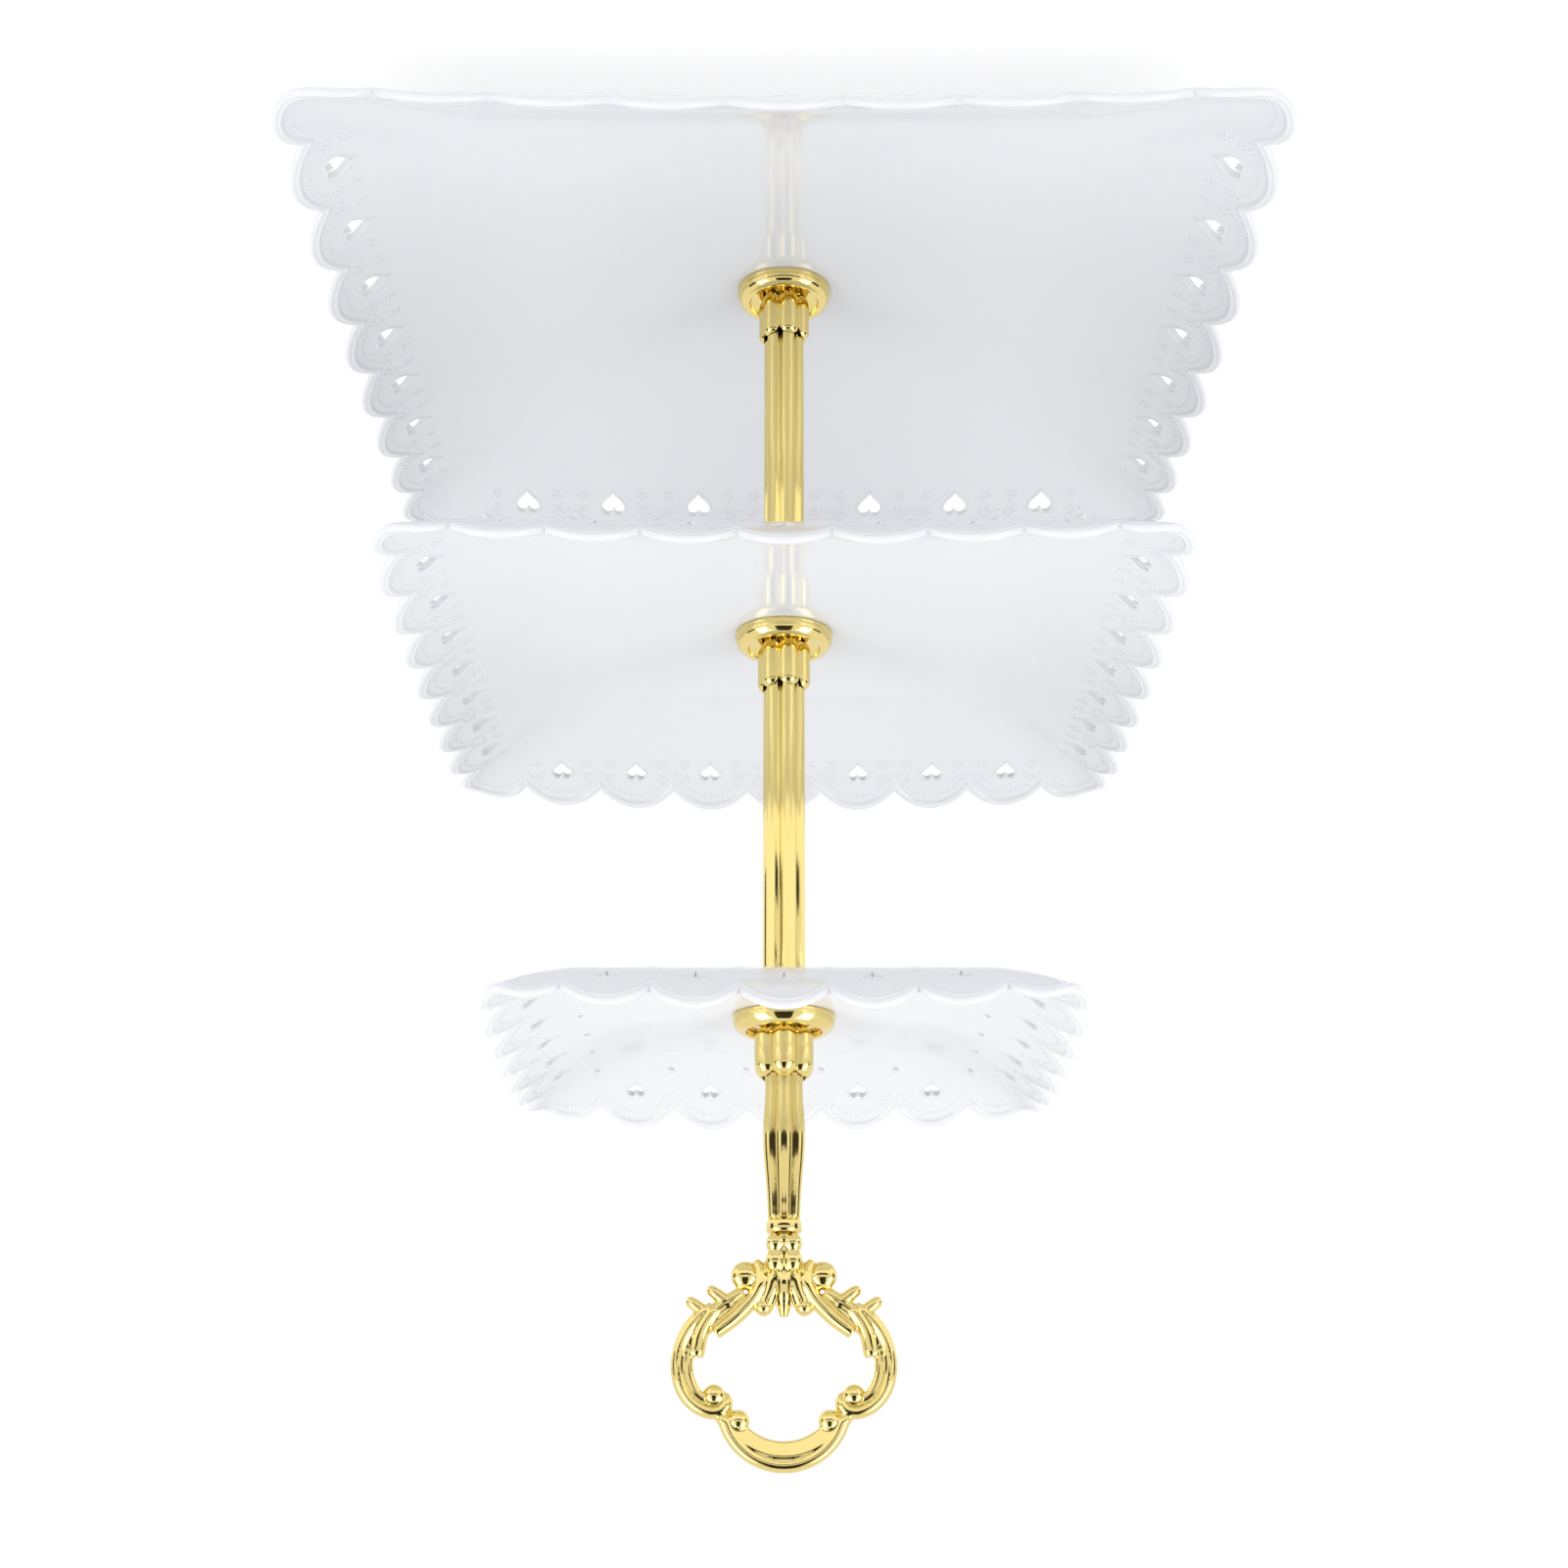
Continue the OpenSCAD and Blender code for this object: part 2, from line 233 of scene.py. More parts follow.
WALL = 2.4              # wall of a tray
RIM_R = WALL / 2        # the rim is a full round
RISE = 5.4              # scallop rise from valley to tip
VALLEY = 1.6            # how far the valleys between scallops are softened
HEART_INSET = 14.2      # heart centre from the scallop tip
DROOP = 0.2             # share of the lip height that a rim loses towards the corners
BEAD_W, BEAD_H = 1.8, 0.6       # raised bead along the rim
BEAD_LINES = (0.0, 0.3, 0.6, 0.9, 1.2, 1.5, BEAD_W)
DOT_R, DOT_H, DOT_STEP, DOT_INSET = 0.68, 0.5, 2.0, 3.7     # embossed dots, and how far inside the rim they run
FLOWER_R = 1.6          # petals' distance from the middle of a dot flower
FLOWER_STEPS = (-3.4, 2.4)      # flowers' places from the heart's centre, inwards and outwards
FLOWER_MIN_PITCH = 26   # trays with narrower scallops have no flowers
BORDER_W, BORDER_H = 1.1, 0.4   # raised border round a heart
HEART_STEPS = 40
HOLE_STEPS = 48
COLUMN_HOLE_R = 3.3


def hump(distance, half_width, height):
    """Smooth bump that ends level at half_width from its middle."""
    return height * np.clip(1 - (distance / half_width) ** 2, 0, None) ** 2


def inside_loop(loop, x, y):
    """Which points lie inside a closed plan loop."""
    inside = np.zeros(len(x), bool)
    for (x0, y0), (x1, y1) in zip(loop, np.roll(loop, -1, axis=0)):
        crosses = (y0 > y) != (y1 > y)
        inside ^= crosses & (x < x0 + (y - y0) * (x1 - x0) / ((y1 - y0) or 1e-12))
    return inside


def to_segments(loop, x, y):
    """Distance from points to a closed plan loop."""
    best = np.full(len(x), np.inf)
    for (x0, y0), (x1, y1) in zip(loop, np.roll(loop, -1, axis=0)):
        dx, dy = x1 - x0, y1 - y0
        t = np.clip(((x - x0) * dx + (y - y0) * dy) / (dx * dx + dy * dy), 0, 1)
        best = np.minimum(best, np.hypot(x - x0 - t * dx, y - y0 - t * dy))
    return best


def triangulate(points, edges, keep):
    """Delaunay triangles over plan points, anticlockwise, where keep(x, y) of their centres is true."""
    result = delaunay_2d_cdt([Vector(p) for p in points], edges, [], 0, 1e-6)
    out = np.array([tuple(v) for v in result[0]])
    tris = np.array(result[2])
    a, b, c = out[tris[:, 0]], out[tris[:, 1]], out[tris[:, 2]]
    area = (b[:, 0] - a[:, 0]) * (c[:, 1] - a[:, 1]) - (b[:, 1] - a[:, 1]) * (c[:, 0] - a[:, 0])
    tris[area < 0] = tris[area < 0][:, ::-1]
    middle = out[tris].mean(1)
    return out, tris[keep(middle[:, 0], middle[:, 1]) & (abs(area) > 1e-7)]


def loop_edges(first, count, closed=True):
    return [(first + i, first + (i + 1) % count) for i in range(count if closed else count - 1)]


def unit(vectors):
    return vectors / np.linalg.norm(vectors, axis=-1, keepdims=True)


class Tray:
    """Shape of one tray. In plan, u is the larger of |x| and |y| and v the smaller."""

    def __init__(self, node, width, pitch, count, lip_h, floor_half, heart_w, foot_h=0.0):
        self.half, self.pitch, self.count = width / 2, pitch, count
        self.floor_half, self.heart_w = floor_half, heart_w
        self.floor_z = node_mm(node)[0][2] + foot_h + WALL
        run = self.half - floor_half - 2 * RIM_R * 0.83
        rise = lip_h - 0.35 * RIM_R
        self.lip_r = (run * run + rise * rise) / (2 * rise)
        self.mitre = 0.09 * self.half
        self.valley = self.half - RISE
        self.last = count * pitch / 2
        self.scallop_r = (pitch * pitch / 4 + RISE * RISE) / (2 * RISE)
        self.scallop_u = self.half - self.scallop_r
        self.corner_u = (self.valley + self.last) / 2
        self.corner_r = (self.valley - self.last) / math.sqrt(2)
        self.inset = RIM_R * (1 + run / self.lip_r) + 0.05
        self.heart_u = self.half - HEART_INSET
        self.heart = self.heart_loop(0)
        self.side_dots, self.corner_dots = self.dots()

    # ---- plan

    def heart_loop(self, grow):
        """Heart outline about (0, 0) with its point towards -u, grown outwards."""
        t = np.arange(HEART_STEPS) * TAU / HEART_STEPS
        scale = self.heart_w / 32
        u = scale * (13 * np.cos(t) - 5 * np.cos(2 * t) - 2 * np.cos(3 * t) - np.cos(4 * t))
        loop = np.stack([u, scale * 16 * np.sin(t) ** 3], 1)
        if grow:
            ahead = np.roll(loop, -1, axis=0) - np.roll(loop, 1, axis=0)
            ahead[0] = (0, 1)
            ahead[HEART_STEPS // 2] = (0, -1)
            loop = loop + grow * unit(np.stack([ahead[:, 1], -ahead[:, 0]], 1))
        return loop

    def dots(self):
        """Dot centres of a side scallop, about (0, its middle), and of the corner scallop."""
        arc_r = self.scallop_r - self.inset - DOT_INSET
        reach = math.asin(min((self.pitch / 2 - 1) / arc_r, 0.92))
        n = int(2 * reach * arc_r / DOT_STEP)
        arc = np.linspace(-reach, reach, n)
        side = [(self.scallop_u + arc_r * math.cos(a), arc_r * math.sin(a)) for a in arc]
        flower_v = self.pitch / 2 - 0.155 * self.pitch
        for du in FLOWER_STEPS if self.pitch > FLOWER_MIN_PITCH else ():
            for s in (-1, 1):
                u, v = self.heart_u + du, s * flower_v
                side += [(u, v)] + [(u + FLOWER_R * math.cos(a), v + FLOWER_R * math.sin(a))
                                    for a in np.arange(5) * TAU / 5]
        arc_r = self.corner_r - self.inset - DOT_INSET
        n = int(1.25 * math.pi * arc_r / DOT_STEP)
        corner = [(self.corner_u + arc_r * math.cos(a), self.corner_u + arc_r * math.sin(a))
                  for a in np.linspace(-0.62, math.pi / 2 + 0.62, n)]
        return np.array(side), np.array([p for p in corner if min(p) > self.last + 1])

    def depth(self, x, y):
        """How far a plan point is inside the upper rim line, with softened valleys."""
        u, v = np.maximum(abs(x), abs(y)), np.minimum(abs(x), abs(y))
        discs = [(self.scallop_u, k * self.pitch, self.scallop_r) for k in range(self.count // 2 + 1)]
        discs += [(discs[-1][1], self.scallop_u, self.scallop_r), (self.corner_u, self.corner_u, self.corner_r)]
        fields = np.sort([r - np.hypot(u - cu, v - cv) for cu, cv, r in discs], axis=0)
        blend = np.clip(VALLEY - (fields[-1] - fields[-2]), 0, None) ** 2 / (4 * VALLEY)
        return fields[-1] + blend - self.inset

    def solve(self, depth, point, low, high):
        """Parameter along point(t) at which the depth is reached, by halving."""
        low, high = np.asarray(low, float) + 0 * high, np.asarray(high, float) + 0 * low
        for _ in range(40):
            middle = (low + high) / 2
            deep = self.depth(*point(middle)) > depth
            low, high = np.where(deep, middle, low), np.where(deep, high, middle)
        return (low + high) / 2

    def side_line(self, v, depth):
        """Line of one depth along a side, at the v given."""
        start = np.full(len(v), self.scallop_u)
        return np.stack([self.solve(depth, lambda u: (u, v), start, start + self.scallop_r + 1), v], 1)

    def corner_line(self, depth, steps):
        """Line of one depth round the corner scallop."""
        first = self.side_line(np.array([self.last]), depth)[0]
        start = math.atan2(first[1] - self.corner_u, first[0] - self.corner_u)
        angles = np.linspace(start, math.pi / 2 - start, steps + 1)
        c, s = np.cos(angles), np.sin(angles)
        near = np.full(len(c), 0.3 * self.corner_r)
        r = self.solve(depth, lambda t: (self.corner_u + t * c, self.corner_u + t * s), near, near + self.corner_r)
        line = np.stack([self.corner_u + r * c, self.corner_u + r * s], 1)
        line[0], line[-1] = first, first[::-1]
        return line

    # ---- surface

    def lip(self, x, y):
        """Height of the upper face without relief."""
        big, small = np.maximum(abs(x), abs(y)), np.minimum(abs(x), abs(y))
        s = big + np.clip(self.mitre - (big - small), 0, None) ** 2 / (4 * self.mitre)
        run = np.clip(s - self.floor_half, 0, None)
        rise = self.lip_r - np.sqrt(self.lip_r ** 2 - run ** 2)
        return self.floor_z + rise * (1 - DROOP * (small / self.half) ** 2)

    def normal(self, x, y):
        e = 0.05
        gx = (self.lip(x + e, y) - self.lip(x - e, y)) / (2 * e)
        gy = (self.lip(x, y + e) - self.lip(x, y - e)) / (2 * e)
        return unit(np.stack([-gx, -gy, np.ones_like(gx)], 1))

    def bead(self, x, y):
        edge = self.depth(x, y)
        near = np.maximum(abs(x), abs(y)) > self.last
        return np.where(near & (edge > 0), hump(edge - BEAD_W / 2, BEAD_W / 2, BEAD_H), 0)

    def relief(self, x, y):
        """Height of the ornament on the upper face."""
        u, v = np.maximum(abs(x), abs(y)), np.minimum(abs(x), abs(y))
        out = self.bead(x, y)
        corner = v > self.last
        side = ~corner & (u > self.last - 2)
        for mask, dots in ((corner, self.corner_dots), (side, self.side_dots)):
            du, dv = u[mask], v[mask]
            if mask is side:
                dv = dv - self.pitch * np.round(dv / self.pitch)
            nearest = np.full(len(du), np.inf)
            for cu, cv in dots:
                nearest = np.minimum(nearest, np.hypot(du - cu, dv - cv))
            out[mask] += hump(np.minimum(nearest, DOT_R), DOT_R, DOT_H)
            if mask is side:
                away = to_segments(self.heart, du - self.heart_u, dv)
                out[mask] += hump(np.minimum(abs(away - BORDER_W / 2), BORDER_W / 2), BORDER_W / 2, BORDER_H)
        return out

    def upper(self, x, y):
        base = np.stack([x, y, self.lip(x, y)], 1)
        return base + self.relief(x, y)[:, None] * self.normal(x, y)

    def under(self, x, y):
        base = np.stack([x, y, self.lip(x, y)], 1)
        return base - (WALL + 0.6 * self.bead(x, y))[:, None] * self.normal(x, y)

    @staticmethod
    def face_normals(face, x, y):
        e = 0.03
        along_x = face(x + e, y) - face(x - e, y)
        along_y = face(x, y + e) - face(x, y - e)
        return unit(np.cross(along_x, along_y))

    # ---- mesh

    def cell(self, rings, lines, fill, dots, heart, limit):
        """Triangles of one cell. rings are the rim lines from the outside in, lines the other borders."""
        points, edges = [], []
        for chain, closed in [(rings[0], False)] + [(line, False) for line in lines] + [(h, True) for h in heart[:1]]:
            edges += loop_edges(len(points), len(chain), closed)
            points += list(chain)
        for chain in list(rings[1:]) + list(heart[1:]):
            points += list(chain)
        for cu, cv in dots:
            points.append((cu, cv))
            for r, n in ((0.5 * DOT_R, 6), (DOT_R, 8)):
                points += [(cu + r * math.cos(a), cv + r * math.sin(a)) for a in np.arange(n) * TAU / n]
        taken = np.array(points)
        for p in fill:
            if np.min(np.hypot(taken[:, 0] - p[0], taken[:, 1] - p[1])) > limit:
                points.append(p)

        def keep(x, y):
            good = self.depth(x, y) > -1e-3
            return good & ~inside_loop(heart[0], x, y) if heart else good

        return triangulate(points, edges, keep)

    def border(self, v, gap):
        """Points along a cell's border at v, from the inner square out to the rim."""
        ends = [self.side_line(np.array([v]), c)[0] for c in BEAD_LINES]
        n = max(2, round((ends[-1][0] - self.last) / gap))
        inner = [(self.last + (ends[-1][0] - self.last) * i / n, v) for i in range(n)]
        return inner + [tuple(p) for p in reversed(ends)]

    def side_cell(self, k, fine, gap, div):
        low, high = (k - 0.5) * self.pitch, (k + 0.5) * self.pitch
        v = np.linspace(low, high, max(36, round(self.pitch * 1.42)) + 1)
        rings = [self.side_line(v, c) for c in BEAD_LINES]
        inner = [(self.last, low + self.pitch * i / div) for i in range(div + 1)]
        lines = [inner, self.border(low, gap), self.border(high, gap)]
        middle = np.array([self.heart_u, k * self.pitch])
        grows = (0, 0.25, 0.55, 0.85, 1.1) if fine else (0,)
        hearts = [self.heart_loop(g) + middle for g in grows]
        dots = self.side_dots + (0, k * self.pitch) if fine else []
        fill = self.fill(self.last, low, self.half, high, gap, hearts[0])
        return self.cell(rings, lines, fill, dots, hearts, 0.62 * gap if not fine else 0.7)

    def corner_cell(self, fine, gap):
        rings = [self.corner_line(c, max(36, round(3.3 * self.corner_r))) for c in BEAD_LINES]
        line = self.border(self.last, gap)
        lines = [line, [(v, u) for u, v in line]]
        fill = self.fill(self.last, self.last, self.half, self.half, gap, None)
        return self.cell(rings, lines, fill, self.corner_dots if fine else [], [], 0.62 * gap if not fine else 0.7)

    def fill(self, u0, v0, u1, v1, gap, hole):
        """Staggered points between the relief features."""
        rows = np.arange(u0 + 0.6 * gap, u1, gap * 0.87)
        points = [(u, v + (i % 2) * gap / 2) for i, u in enumerate(rows)
                  for v in np.arange(v0 + 0.45 * gap, v1 - 0.4 * gap, gap)]
        x, y = np.array(points).T
        keep = (self.depth(x, y) > BEAD_W + 0.5 * gap) & (y < v1 - 0.35 * gap)
        if hole is not None:
            keep &= ~inside_loop(hole, x, y)
        return [p for p, k in zip(points, keep) if k]

    def middle_square(self, div):
        """Triangles of the plain middle, with the column's hole."""
        n = self.count * div
        steps = np.linspace(-self.last, self.last, n + 1)
        points = [(x, y) for x in steps for y in steps if math.hypot(x, y) > COLUMN_HOLE_R + 2.2]
        hole = [(COLUMN_HOLE_R * math.cos(a), COLUMN_HOLE_R * math.sin(a))
                for a in np.arange(HOLE_STEPS) * TAU / HOLE_STEPS]
        edges = loop_edges(0, HOLE_STEPS)
        more = [(1.3 * x, 1.3 * y) for x, y in hole[::2]]
        return triangulate(hole + more + points, edges, lambda x, y: ~inside_loop(np.array(hole), x, y))

    def plan(self, fine):
        """Welded plan mesh of a whole face: points and anticlockwise triangles."""
        gap, div = (1.7, 12) if fine else (3.2, 6)
        patches = [self.middle_square(div)]
        half_count = self.count // 2
        cells = [self.side_cell(k, fine, gap, div) for k in range(-half_count, half_count + 1)]
        cells.append(self.corner_cell(fine, gap))
        for turn in range(4):
            for points, tris in cells:
                x, y = points.T
                for _ in range(turn):
                    x, y = -y, x
                patches.append((np.stack([x, y], 1), tris))
        points = np.concatenate([p for p, _ in patches])
        starts = np.cumsum([0] + [len(p) for p, _ in patches[:-1]])
        tris = np.concatenate([t + s for (_, t), s in zip(patches, starts)])
        keys, first, inverse = np.unique(np.round(points, 3) + 0.0, axis=0, return_index=True, return_inverse=True)
        tris = inverse.reshape(-1)[tris]
        used = np.unique(tris)
        renumber = np.full(len(keys), -1)
        renumber[used] = np.arange(len(used))
        return points[first][used], renumber[tris]


def open_edges(tris):
    """Directed edges that have only one triangle."""
    a = np.concatenate([tris[:, [0, 1]], tris[:, [1, 2]], tris[:, [2, 0]]])
    size = tris.max() + 1
    codes = a[:, 0] * size + a[:, 1]
    back = a[:, 1] * size + a[:, 0]
    return a[~np.isin(codes, back)]


def tray_mesh(tray):
    """Closed mesh of a tray: vertices, triangles or quads, and one normal per face corner."""
    top, top_tris = tray.plan(True)
    low, low_tris = tray.plan(False)
    top_xyz, low_xyz = tray.upper(*top.T), tray.under(*low.T)
    top_n = tray.face_normals(tray.upper, *top.T)
    low_n = -tray.face_normals(tray.under, *low.T)
    verts = [top_xyz, low_xyz]
    faces = top_tris.tolist() + (low_tris[:, ::-1] + len(top)).tolist()
    normals = [top_n[top_tris.reshape(-1)], low_n[low_tris[:, ::-1].reshape(-1)]]

    rim = open_edges(top_tris)
    below = {tuple(p): i for i, p in enumerate(np.round(low, 3) + 0.0)}
    base_n = tray.normal(*top.T)
    flat = np.stack([top[:, 0], top[:, 1], tray.lip(*top.T)], 1)
    outward = np.zeros_like(top_xyz)
    for a, b in rim:
        side = np.cross(flat[b] - flat[a], base_n[a])
        side /= np.linalg.norm(side)
        outward[a] += side
        outward[b] += side
    ring = np.unique(rim)
    outward[ring] = unit(outward[ring] - (outward[ring] * base_n[ring]).sum(1, keepdims=True) * base_n[ring])
    pair = {i: below[tuple(np.round(top[i], 3) + 0.0)] for i in ring}

    on_edge = abs(tray.depth(*top[ring].T)) < 0.02
    count = len(top) + len(low)
    columns = {}
    for i, edge in zip(ring, on_edge):
        angles = [math.pi * k / 7 for k in range(1, 7)] if edge else []
        middle = flat[i] - RIM_R * base_n[i]
        extra = [middle + RIM_R * (math.cos(a) * base_n[i] + math.sin(a) * outward[i]) for a in angles]
        if extra:
            verts.append(np.array(extra))
        ids = [i] + list(range(count, count + len(extra))) + [pair[i] + len(top)]
        count += len(extra)
        if edge:
            directions = [math.cos(a) * base_n[i] + math.sin(a) * outward[i] for a in [0] + angles + [math.pi]]
        else:
            directions = [outward[i], outward[i]]
        columns[i] = (ids, directions)
    wall_normals = []
    for a, b in rim:
        (ids_a, dirs_a), (ids_b, dirs_b) = columns[a], columns[b]
        for k in range(len(ids_a) - 1):
            faces.append([ids_b[k], ids_a[k], ids_a[k + 1], ids_b[k + 1]])
            wall_normals += [dirs_b[k], dirs_a[k], dirs_a[k + 1], dirs_b[k + 1]]
    normals.append(np.array(wall_normals))
    return np.concatenate(verts), faces, np.concatenate(normals)


def foot_mesh(first):
    """Ring foot under the bottom tray, sunk a little into its floor, with corner normals."""
    low, _ = node_mm("bottom_tray")
    top = low[2] + FOOT_H + 0.4
    inner, outer = FOOT_R - WALL, FOOT_R
    profile = [(inner, top), (inner, low[2] + 1)]
    profile += arc_points(inner + 0.9, low[2] + 0.9, 0.9, 180, 270, 4)
    profile += arc_points(outer - 0.9, low[2] + 0.9, 0.9, 270, 360, 4)
    profile += [(outer, low[2] + 1), (outer, top)]
    cols = 160
    verts, faces = lathe(profile, cols)
    ring = np.array(profile)
    along = np.roll(ring, -1, axis=0) - np.roll(ring, 1, axis=0)
    along[0], along[-1] = (0, -1), (0, 1)
    out = unit(np.stack([along[:, 1], -along[:, 0]], 1))
    angles = np.arange(cols) * TAU / cols
    each = np.stack([np.outer(out[:, 0], np.cos(angles)), np.outer(out[:, 0], np.sin(angles)),
                     np.repeat(out[:, 1:], cols, 1)], 2).reshape(-1, 3)
    flat = np.array(faces)
    return verts, (flat + first).tolist(), each[flat.reshape(-1)]


FOOT_H, FOOT_R = 5.6, 62.0
TRAYS = {
    "bottom_tray": (Tray("bottom_tray", 300, 33.8, 7, 28.6, 81.5, 8.8, FOOT_H), "base"),
    "middle_tray": (Tray("middle_tray", 239.6, 27.2, 7, 21.8, 64.5, 7), "middle_tier"),
    "top_tray": (Tray("top_tray", 176.4, 25.1, 5, 19.5, 44, 6), "top_tier"),
}


def make_trays():
    for node, (tray, body) in TRAYS.items():
        verts, faces, normals = tray_mesh(tray)
        if node == "bottom_tray":
            foot_verts, foot_faces, foot_normals = foot_mesh(len(verts))
            verts = np.concatenate([verts, foot_verts])
            faces += foot_faces
            normals = np.concatenate([normals, foot_normals])
        make_object(node + "_shell", verts, faces, PLASTIC, body, "tray_plastic", [node], normals)


# ------------------------------------------------------------------ column

LOBES = 6
LOBE_RATIO = 1.45       # distance of a lobe's centre from the axis, over the lobe's radius
COLS = 180
COLUMN_YAW = math.radians(14)      # turn of the rods and their collars about the column's axis
ANGLES = np.arange(COLS) * TAU / COLS
ROD_BORE_R = 4.4
STUD_R, STUD_MINOR_R, THREAD_PITCH = 2.95, 2.5, 1.0


def lobe_offsets(turn):
    """Angle from each column to its nearest lobe."""
    return abs((ANGLES - turn + math.pi / LOBES) % (TAU / LOBES) - math.pi / LOBES)


def fluted(reach, turn=0.0, soften=0.12):
    """Radii of a bar with six lobes that reach out this far, its valleys a little softened."""
    lobe = reach / (1 + LOBE_RATIO)
    centre = LOBE_RATIO * lobe
    near = lobe_offsets(turn)
    first, second = [centre * np.cos(a) + np.sqrt(np.clip(lobe ** 2 - (centre * np.sin(a)) ** 2, 0, None))
                     for a in (near, TAU / LOBES - near)]
    return first + np.clip(soften - (first - second), 0, None) ** 2 / (4 * soften)


def hardware(name, mesh, material, body, slot, node, sharp=32):
    piece = make_object(name, *mesh, material, body, slot, [node])
    smooth_by_angle(piece, sharp)
    return piece


def make_rod(node, body):
    low, high = node_mm(node)
    z0, z1 = low[2], high[2]
    edge = 0.35
    full, eased = fluted(REACH[node], COLUMN_YAW), fluted(REACH[node] - edge, COLUMN_YAW)
    rows = [(ROD_BORE_R + edge, z0), (eased, z0), (full, z0 + edge), (full, (z0 + z1) / 2), (full, z1 - edge),
            (eased, z1), (ROD_BORE_R + edge, z1), (ROD_BORE_R, z1 - edge), (ROD_BORE_R, z0 + edge)]
    hardware(node + "_bar", lathe(rows, COLS), GOLD_ROD, body, "gold", node, 40)


def make_collar(node, body, turn, barrel):
    """Sleeve of six upright capsules round a rod or the stem. barrel is how much narrower its ends are."""
    low, high = node_mm(node)
    z0, z1 = low[2], high[2]
    bore, core = 6.9, 7.05
    lobe = REACH[node] / (1 + LOBE_RATIO)
    centre = LOBE_RATIO * lobe
    near = lobe_offsets(turn)
    inner = centre * np.cos(near)
    arc = np.sqrt(lobe ** 2 - (centre * np.sin(near)) ** 2)
    end = np.arccos(np.clip((core - inner) / arc, -1, 1))
    dome = (arc * np.sin(end)).max()
    middle, half = (z0 + z1) / 2, (z1 - z0) / 2
    top = []
    for t in np.linspace(0, 1, 14):
        z = z1 - dome + arc * np.sin(end * t)
        radii = (inner + arc * np.cos(end * t)) * (1 - barrel * ((z - middle) / half) ** 2)
        top.append((np.maximum(radii, core), z))
    bottom = [(r, 2 * middle - z) for r, z in reversed(top)]
    rows = [(bore, bottom[0][1] + 0.1)] + bottom + [(np.maximum(inner + arc, core), middle)] + top
    rows.append((bore, top[-1][1] - 0.1))
    hardware(node + "_sleeve", lathe(rows, COLS), GOLD_CAST, body, "gold", node, 50)


def make_flange(node, body, dish_r):
    """Cast disc with a rolled edge and a dished top."""
    low, high = node_mm(node)
    z0, z1, r = low[2], high[2], high[0]
    seat = z0 + 3.5
    roll = 3.1
    rows = [(3.3, z0), (r - 0.5, z0)] + arc_points(r - 0.5, z0 + 0.5, 0.5, -90, 0, 4)[1:]
    rows += [(r - roll + roll * math.cos(a), z0 + 0.9 + (z1 - z0 - 0.9) * math.sin(a))
             for a in np.linspace(0, 1.9, 16)]
    rows += [(x, z) for x, z in curve_through([rows[-1], (dish_r + 1.6, seat + 0.55), (dish_r, seat)], 5)[1:]]
    rows += [(3.3, seat)]
    hardware(node + "_disc", lathe(rows, 128), GOLD_CAST, body, "gold", node, 42)


def make_support(node, body):
    low, high = node_mm(node)
    z0, z1, r = low[2], high[2], high[0]
    rows = [(3.3, z0), (r - 2.2, z0)] + [(r - 2.2 + 2.2 * math.sin(a), z1 - 0.5 - (z1 - 0.5 - z0) * math.cos(a))
                                         for a in np.linspace(0.1, math.pi / 2, 8)]
    rows += arc_points(r - 0.4, z1 - 0.4, 0.4, 0, 90, 4) + [(3.3, z1)]
    hardware(node + "_plate", lathe(rows, 128), GOLD_CAST, body, "gold", node, 42)


def make_washer(node, body, material, slot, edge, grooves=0):
    """Flat ring with rounded edges and, on a seal, fine concentric ribs."""
    low, high = node_mm(node)
    z0, z1, r = low[2], high[2], high[0]
    bore = BORES[node]
    rows = arc_points(bore + edge, z1 - edge, edge, 90, 180, 3)
    rows += arc_points(bore + edge, z0 + edge, edge, 180, 270, 3)
    step = (r - bore - 2 * edge) / (4 * grooves + 1)
    ribs = [(bore + edge + step * (i + 0.5), 0.12 if i % 4 in (1, 2) else 0.0) for i in range(4 * grooves)]
    rows += [(x, z0 + d) for x, d in ribs]
    rows += arc_points(r - edge, z0 + edge, edge, 270, 360, 3) + arc_points(r - edge, z1 - edge, edge, 0, 90, 3)
    rows += [(x, z1 - d) for x, d in reversed(ribs)]
    hardware(node + "_ring", lathe(rows, 96), material, body, slot, node, 50)


def make_insert(node, body):
    """Threaded bush with a straight knurl, pressed into a rod."""
    low, high = node_mm(node)
    z0, z1, r = low[2], high[2], high[0]
    bore = 3.0
    knurl = r - 0.14 * (np.cos(ANGLES * 36) < 0)
    waist = (z0 + z1) / 2
    rows = [(bore + 0.4, z0), (r - 0.4, z0), (knurl - 0.02, z0 + 0.4), (knurl, waist - 1), (r - 0.3, waist - 0.7),
            (r - 0.3, waist + 0.7), (knurl, waist + 1), (knurl - 0.02, z1 - 0.4), (r - 0.4, z1), (bore + 0.4, z1),
            (bore, z1 - 0.4), (bore, z0 + 0.4)]
    hardware(node + "_bush", lathe(rows, COLS), STEEL, body, "zinc_steel", node, 35)


def threaded_rows(z0, z1, cols, major=STUD_R, step=0.125):
    """Rows of a screw thread from z0 up to z1, with tapered starts."""
    angles = np.arange(cols) * TAU / cols
    rows = []
    for z in np.linspace(z0, z1, int((z1 - z0) / step) + 1):
        phase = ((z - z0) / THREAD_PITCH - angles / TAU) % 1
        tooth = np.clip(1.35 - 2.7 * abs(phase - 0.5) * 2, 0, 1)
        limit = min(z - z0, z1 - z) + STUD_MINOR_R - 0.45
        rows.append((np.minimum(STUD_MINOR_R + (major - STUD_MINOR_R) * tooth, max(limit, 2.05)), z))
    return rows


